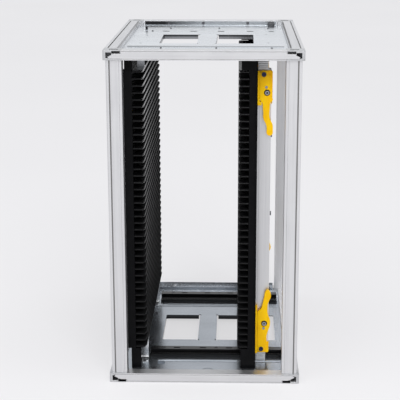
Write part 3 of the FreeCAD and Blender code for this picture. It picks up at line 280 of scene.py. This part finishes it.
# %% Plated sheet
# Heights and places where the painted shade of edges, rims and flanges starts and is full.
EDGE_MM = (-0.08, -0.22)  # how far over the main face a cut edge's painted shade starts, and where it is full
RIM_MM = (-2.0, -5.2)  # the same for a turned rim
FLANGE_STEP_MM = 0.4  # the height over which the main face's tone turns into the flange's
FLANGE_SHADE_X = (-0.016, -0.09)  # from where the flange's painted shade starts, and where it is full, in metres
HOLLOW_SHADE = (0.012, 0.013, 0.015)


def flat_level(name):
    """The height of a plate's main upper face, which is the level with the most upward area."""
    area_at = {}
    for face in nodes[name].data.polygons:
        if face.normal.z > 0.99:
            level = round(face.center.z / MM, 1)
            area_at[level] = area_at.get(level, 0.0) + face.area
    return max(area_at, key=area_at.get) * MM


def plated_sheet(name, level, rough, dark, light, edge, rim, above, above_mm, flange_shade_share=1.0):
    """Plating between two tones, with painted shade on its edges and rims and a painted tone above
    above_mm.
    """
    material, shader, place = finish(name, Metallic=0.95)
    rolled = grain(place, 0.7, 3.0, (40, 1, 1))
    patches = grain(place, 60.0, 2.0, (1.8, 1, 1))
    specks = shape(place, grain(place, 1.1, 2.0), [(0.62, 0), (0.75, 1)])
    tone = shape(place, patches * 0.88 + rolled * 0.12, [(0.3, 0), (0.7, 1)])
    up_mm = (along(place, "Z") - level) * (1 / MM)
    # Painted shade: cut edges and turned rims under the main face take dark tones.
    below = blend(place, fade(place, up_mm, *RIM_MM), edge, rim)
    # Painted shade: the flange is painted darker towards its left end.
    flange_shade = fade(place, along(place, "X"), *FLANGE_SHADE_X)
    flange = blend(place, flange_shade, above, [flange_shade_share * part for part in above])
    colour = blend(place, tone, dark, light)
    colour = blend(place, fade(place, up_mm, *EDGE_MM), colour, below)
    colour = blend(place, fade(place, up_mm, above_mm, above_mm + FLANGE_STEP_MM), colour, flange)
    # Painted shade: holes and slots in the sheet are painted near-black.
    colour = inside(place, colour, HOLLOW_SHADE, start=0.3, full=0.5)
    wear(shader, place, colour, tone * 0.04 + rolled * 0.02 + specks * 0.03 + rough, rolled, 0.001, 0.1)
    return material


# Painted shade: the top plate's edges and rear flange are painted dark, the flange nearly black at the
# left.
zinc_top = plated_sheet(
    "zinc_plated_top", flat_level("plate_top"), rough=0.24,
    dark=(0.70, 0.73, 0.765), light=(0.78, 0.81, 0.84), edge=(0.05, 0.052, 0.056), rim=(0.34, 0.35, 0.37),
    above=(0.30, 0.315, 0.33), above_mm=0.5, flange_shade_share=0.08)
# Painted shade: the bottom plate is painted darker than the top one, with near-black edges and rims; its
# raised parts are painted near-white as a painted highlight.
zinc_bottom = plated_sheet(
    "zinc_plated_bottom", flat_level("plate_bottom"), rough=0.17,
    dark=(0.34, 0.37, 0.405), light=(0.43, 0.46, 0.50), edge=(0.035, 0.037, 0.04), rim=(0.02, 0.021, 0.023),
    above=(0.92, 0.94, 0.97), above_mm=3.0)
# Painted shade: the brackets' edges, and brackets more than 100 mm over the bottom plate, are painted
# darker.
zinc_bracket = plated_sheet(
    "zinc_plated_bracket", flat_level("plate_bottom"), rough=0.2,
    dark=(0.66, 0.68, 0.70), light=(0.78, 0.80, 0.82), edge=(0.2, 0.21, 0.22), rim=(0.2, 0.21, 0.22),
    above=(0.3, 0.31, 0.33), above_mm=100.0)
print("made", zinc_top.name, zinc_bottom.name, zinc_bracket.name)


# %% [markdown]
# ## Black moulded plastic
# The slotted walls and the toothed racks are moulded in black plastic that carries carbon to leak away
# static. The walls come from a satin mould. The racks are smoother and glossier, because the feet run on
# them. The ribs are rubbed glossy by the boards, most at the front and high up, where hands push them in
# straight, and least deep inside and low down. A mould's own texture is a fine even grain, and the flow
# of the plastic adds long faint marks.

# %% Satin and glossy black
DULLER_PER_METRE_BACK = 1.3
DULLER_PER_METRE_UP = -0.9
DULLER_ON_THE_GROUND = 0.65


def black_plastic(name, gloss, rough, grain_mm, bump_mm, rubbed=False):
    material, shader, place = finish(name, Specular_IOR_Level=gloss)
    fine = grain(place, grain_mm, 2.0)
    flow = grain(place, 18.0, 2.0, (1, 4, 1))
    scuff = shape(place, grain(place, 3.0, 4.0, (1, 3, 1)), [(0.58, 0), (0.75, 1)])
    colour = blend(place, flow * 0.6 + scuff * 0.4, (0.002, 0.002, 0.0024), (0.008, 0.008, 0.009))
    # Painted shade: the gaps between the ribs and other hollows are painted darker still.
    colour = inside(place, colour, (0.0015, 0.0015, 0.0017))
    dull = shape(place, hidden_part(place), [(0.2, 0), (0.7, 0.4)])
    roughness = flow * 0.06 + scuff * 0.08 + dull + rough
    if rubbed:
        back, up = along(place, "Y") * DULLER_PER_METRE_BACK, along(place, "Z") * DULLER_PER_METRE_UP
        roughness = roughness + back + up + DULLER_ON_THE_GROUND
    wear(shader, place, colour, roughness, fine * 0.7 + flow * 0.3, bump_mm, 0.4)
    return material


black_satin = black_plastic("black_satin_plastic", 0.05, 0.20, 0.5, 0.008)
black_gloss = black_plastic("black_gloss_plastic", 0.35, 0.16, 0.8, 0.006)
black_ribs = black_plastic("rubbed_black_ribs", 0.16, 0.18, 0.5, 0.008, rubbed=True)
print("made", black_satin.name, black_gloss.name, black_ribs.name)


# %% [markdown]
# ## Yellow levers
# The levers are moulded in a strong yellow so that a hand finds them. The plastic is slightly glossy with
# a soft texture, and a little deeper in tone where the flow met.

# %% Yellow plastic
def yellow_plastic():
    material, shader, place = finish("yellow_lever_plastic", Specular_IOR_Level=0.12)
    fine = grain(place, 0.6, 2.0)
    flow = grain(place, 12.0, 2.0, (1, 1, 2))
    tone = shape(place, flow, [(0.35, 0), (0.65, 1)])
    colour = blend(place, tone, (0.96, 0.53, 0.001), (1.0, 0.61, 0.002))
    wear(shader, place, colour, fine * 0.1 + flow * 0.12 + 0.3, fine * 0.6 + flow * 0.4, 0.015, 0.3)
    return material


yellow = yellow_plastic()
print("made", yellow.name)


# %% [markdown]
# ## Screws, shafts and bushes
# Small hardware is turned on a lathe. Bright steel mirrors almost cleanly, dulled steel is darker, the
# screws of the plates, racks and walls are painted near-black as painted shade, black screws are oxidised
# to a dark blue-black, and the bushes are oiled bronze. Each takes a fine grain in roughness and bump, or
# it would look like a drop of paint. The knob is a dull moulding, but its skin is the same sum with no
# metal in it.

# %% Turned metals
def turned_metal(name, dark, light, rough, metallic=1.0, socket=(0.006, 0.008, 0.016)):
    """A small part's skin between two tones. The socket's tone is painted into its hollow, as in a screw's
    head: painted shade, unless a lighter tone paints a highlight there.
    """
    material, shader, place = finish(name, Metallic=metallic)
    marks = grain(place, 0.35, 2.0)
    cloud = grain(place, 4.0, 3.0)
    colour = blend(place, cloud * 0.6 + marks * 0.4, dark, light)
    # Painted shade in the socket and other hollows, near-black by default.
    colour = inside(place, colour, socket, start=0.18, full=0.3)
    wear(shader, place, colour, marks * 0.14 + cloud * 0.1 + rough, marks, 0.01, 0.4)
    return material


bright_steel = turned_metal("bright_turned_steel", (0.55, 0.55, 0.56), (0.78, 0.78, 0.78), 0.12)
# Painted shade: the screws of the plates, racks and walls are painted near-black.
shade_dark_screw_steel = turned_metal("oiled_steel_screw", (0.05, 0.05, 0.055), (0.14, 0.14, 0.15), 0.25)
bolt_steel = turned_metal("dulled_bolt_steel", (0.22, 0.23, 0.26), (0.42, 0.43, 0.46), 0.2)
# Painted highlight: the black screws' sockets are painted a lighter blue.
black_screw = turned_metal("black_oxide_screw", (0.006, 0.008, 0.03), (0.022, 0.028, 0.085), 0.22,
                           metallic=0.6, socket=(0.20, 0.26, 0.42))
bronze = turned_metal("oiled_bronze", (0.36, 0.22, 0.09), (0.56, 0.37, 0.17), 0.28)
knob_skin = turned_metal("grey_moulded_knob", (0.03, 0.032, 0.035), (0.07, 0.073, 0.08), 0.42, metallic=0.0)
print("made", bright_steel.name, shade_dark_screw_steel.name, bolt_steel.name)
print("made", black_screw.name, bronze.name, knob_skin.name)


# %% [markdown]
# ## Softening the edges
# A CAD solid ends in perfectly sharp edges, and nothing real does. A casting is rounded by its mould, a
# bar by its die, and a sheet by the punch, and the thin line of light along such an edge is what tells
# the eye that it is metal. The CAD mesh itself stays as it is. A copy has its loose triangles merged and
# its flat faces joined, and a Bevel modifier then rounds each edge that is sharper than 35 degrees. A
# Weighted Normal modifier keeps the large faces flat to the eye, so that only the rounding shades.
# The copy also gets the hollow number that the finishes read. From the middle of each face a dozen short
# rays go out, and the number is the share of them that meets the same piece again.

# %% How far each face lies in a hollow
RINGS = ((0.0, 1), (0.45, 4), (0.8, 7))  # how far a ring of rays leans out, and its number of rays
RAY_START = 0.02 * MM


def ray_fan():
    rays = []
    for lean, count in RINGS:
        for k in range(count):
            turn = 2 * math.pi * k / count
            rays.append(Vector((math.cos(turn) * lean, math.sin(turn) * lean, math.sqrt(1 - lean * lean))))
    return rays


FAN = ray_fan()


def measure_hollows(bm, reach_mm):
    """Stores on each face the share of short rays that meet the piece again."""
    tree = BVHTree.FromBMesh(bm)
    layer = bm.faces.layers.float.new(HIDDEN)
    for face in bm.faces:
        start = face.calc_center_median() + face.normal * RAY_START
        turn = face.normal.to_track_quat("Z", "Y")
        met = [tree.ray_cast(start, turn @ ray, reach_mm * MM)[0] is not None for ray in FAN]
        face[layer] = sum(met) / len(FAN)


print(len(FAN), "rays from each face")


# %% A softened copy of a CAD node
SAME_POINT = 0.01 * MM
FLAT_ANGLE = math.radians(0.6)
SHARP_ANGLE = math.radians(35)


def soften(name, skin, round_mm, segments=2, reach_mm=10.0):
    """A copy of the CAD node with rounded edges, which stands for it and rides on the same body."""
    mesh = nodes[name].data.copy()
    bm = bmesh.new()
    bm.from_mesh(mesh)
    bmesh.ops.remove_doubles(bm, verts=bm.verts, dist=SAME_POINT)
    measure_hollows(bm, reach_mm)
    bmesh.ops.dissolve_limit(bm, angle_limit=FLAT_ANGLE, verts=bm.verts, edges=bm.edges)
    bm.to_mesh(mesh)
    bm.free()
    mesh.materials.clear()
    mesh.materials.append(skin)
    mesh.shade_smooth()
    piece = bpy.data.objects.new(name + "_soft", mesh)
    bpy.context.scene.collection.objects.link(piece)
    bevel = piece.modifiers.new("rounded edges", "BEVEL")
    bevel.width = round_mm * MM
    bevel.segments = segments
    bevel.limit_method = "ANGLE"
    bevel.angle_limit = SHARP_ANGLE
    bevel.use_clamp_overlap = True
    flat = piece.modifiers.new("flat faces", "WEIGHTED_NORMAL")
    flat.mode = "FACE_AREA"
    flat.weight = 100
    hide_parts(name)
    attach(piece, body_of[name])
    return piece


ENDS = ("bottom", "top")
DEPTHS = ("front", "rear")
SIDES = ("left", "right")
print("edges sharper than", round(math.degrees(SHARP_ANGLE)), "degrees will be rounded")


# %% [markdown]
# ## The frame
# Eight castings plug into four columns and eight rails. The castings get the widest rounding, and the
# bars a narrow one. Each bar takes the finish whose lines run along it.

# %% Castings, columns and rails
for end in ENDS:
    for depth in DEPTHS:
        for side in SIDES:
            soften(f"corner_{end}_{depth}_{side}", cast, 0.5)
        soften(f"rail_{end}_{depth}", bars_x, 0.3)
    for side in SIDES:
        soften(f"side_rail_{end}_{side}", bars_y, 0.3)
for depth in DEPTHS:
    for side in SIDES:
        soften(f"column_{depth}_{side}", bars_z, 0.35)
print("frame dressed")


# %% [markdown]
# ## Plates and brackets
# The plates are thin, so their rounding is only a fifth of a millimetre: what is left of the punched
# edge. The bent brackets at the ends of the toothed racks come from the same sheet. Thin sheet has
# shallow hollows, so its rays are short.

# %% Sheet parts
SHEET_REACH_MM = 6.0
soften("plate_bottom", zinc_bottom, 0.2, reach_mm=SHEET_REACH_MM)
soften("plate_top", zinc_top, 0.2, reach_mm=SHEET_REACH_MM)
soften("panel_brackets", zinc_bracket, 0.3, reach_mm=SHEET_REACH_MM)
soften("plate_knob", knob_skin, 0.3)
print("sheet parts dressed")


# %% [markdown]
# ## Slotted walls and racks
# The walls are satin black, their ribs rubbed, and the racks glossy black. The ribs' rounding matters
# most here: the light that runs along forty-two rounded edges is what draws the slots in the dark.

# %% Black parts
for wall in ("fixed", "moving"):
    soften(f"{wall}_panel", black_satin, 0.5)
    soften(f"{wall}_panel_ribs", black_ribs, 0.8)
for end in ENDS:
    for depth in DEPTHS:
        soften(f"rack_{end}_{depth}", black_gloss, 0.3)
    soften(f"pinions_{end}", black_satin, 0.12, segments=1)
print("black parts dressed")


# %% [markdown]
# ## The sliding side
# The posts are drawn bars and the feet castings. The levers are thick mouldings with generous rounding,
# on thinner bases, with a clamp bolt and a black pivot screw each. The shafts and the other screws keep
# their CAD shapes, which are already as fine as such small parts show, and take the turned finishes.

# %% Posts, feet and levers
for depth in DEPTHS:
    soften(f"post_{depth}", bars_z, 0.5)
    for end in ENDS:
        soften(f"foot_{end}_{depth}", cast, 0.4)
        soften(f"lever_{end}_{depth}", yellow, 0.8, segments=3)
        soften(f"lever_base_{end}_{depth}", yellow, 0.5)
        soften(f"lever_bolt_{end}_{depth}", bolt_steel, 0.2)
soften("lever_pivot_screws", black_screw, 0.2)
print("sliding side dressed")

# %% Hardware
hardware = {
    bright_steel: ["shaft_bottom", "shaft_top"],
    # Painted shade: these screws take the near-black tone.
    shade_dark_screw_steel: ["plate_screws", "rack_screws", "panel_screws"],
    bronze: ["shaft_bushes"],
}
for metal, names in hardware.items():
    for name in names:
        nodes[name].data.materials.clear()
        nodes[name].data.materials.append(metal)
print(sum(len(names) for names in hardware.values()), "nodes of hardware dressed")


# %% [markdown]
# ## Floor and light
# The rack stands on a seamless pale table, which fills most of the picture, and a room of the same pale
# tone fills the rest. Part of the table's surface is an even glow that only the camera sees, directly
# and in mirror-like or clear surfaces. The rest is plain matt, so the table keeps the rack's soft shadow
# and throws no extra light on the rack. The light is a bright even room with three large soft lamps: one
# to the upper left, the strongest one high in front, and a faint one to the right.

# %% Table
GLOW_SHARE = 0.7
TABLE_REACH = 15.0


def table():
    bm = bmesh.new()
    bmesh.ops.create_grid(bm, x_segments=1, y_segments=1, size=TABLE_REACH)
    mesh = bpy.data.meshes.new("table")
    bm.to_mesh(mesh)
    bm.free()
    top = bpy.data.objects.new("table", mesh)
    bpy.context.scene.collection.objects.link(top)
    material, shader, place = finish("pale_table", Roughness=0.9, Specular_IOR_Level=0.1)
    colour = blend(place, grain(place, 900.0, 1.0), (0.83, 0.825, 0.84), (0.86, 0.855, 0.87))
    wear(shader, place, colour)
    rays = ("Is Camera Ray", "Is Glossy Ray", "Is Transmission Ray")
    seen = [place.node("ShaderNodeLightPath", {}, {}, out=ray) for ray in rays]
    share = (seen[0] + seen[1] + seen[2]) * GLOW_SHARE
    glow = place.node("ShaderNodeEmission", {}, {"Color": colour})
    matt = Wire(place.tree, shader.outputs[0])
    surface = place.node("ShaderNodeMixShader", {}, {0: share, 1: matt, 2: glow})
    join(place.tree, surface, material.node_tree.nodes["Material Output"].inputs["Surface"])
    mesh.materials.append(material)
    return top


print("made", table().name)


# %% Light
def lamp(name, place, aim, size, watts):
    """A square lamp at a place, turned to shine at the aim."""
    light = bpy.data.lights.new(name, "AREA")
    light.shape = "SQUARE"
    light.size = size
    light.energy = watts
    lamp_object = bpy.data.objects.new(name, light)
    bpy.context.scene.collection.objects.link(lamp_object)
    lamp_object.location = place
    lamp_object.rotation_euler = (Vector(aim) - Vector(place)).to_track_quat("-Z", "Y").to_euler()
    return lamp_object


lamp("large_soft_lamp", (-1.2, -1.6, 2.6), aim=(0, 0, 0.25), size=1.6, watts=16)
lamp("front_soft_lamp", (0.6, -2.6, 2.4), aim=(0, 0, 0.28), size=1.4, watts=44)
lamp("right_fill_lamp", (2.0, -0.8, 1.6), aim=(0, 0, 0.3), size=1.4, watts=6)

world = bpy.data.worlds.new("pale_room")
bpy.context.scene.world = world
world.use_nodes = True
sky = world.node_tree.nodes["Background"]
sky.inputs["Color"].default_value = (0.93, 0.94, 0.96, 1)
sky.inputs["Strength"].default_value = 0.9


# %% [markdown]
# ## Camera
# The photograph looks down on the front at about fourteen degrees through a long lens, from two metres.
# The small shifts put the crop where the photograph has it. The angles are in radians.

# %% Camera
LOOK_DOWN = 0.24741
LOOK_LEFT = 0.02364
camera = bpy.data.objects.new("camera", bpy.data.cameras.new("camera"))
bpy.context.scene.collection.objects.link(camera)
camera.location = (0.055772, -2.03204, 0.80219)
camera.rotation_euler = (math.pi / 2 - LOOK_DOWN, 0, LOOK_LEFT)
camera.data.sensor_width = 36
camera.data.lens = 103.52
camera.data.shift_x = -0.03
camera.data.shift_y = -0.04
bpy.context.scene.camera = camera
bpy.context.scene.view_settings.view_transform = "Standard"
print("camera looks down", round(math.degrees(LOOK_DOWN), 1), "degrees")
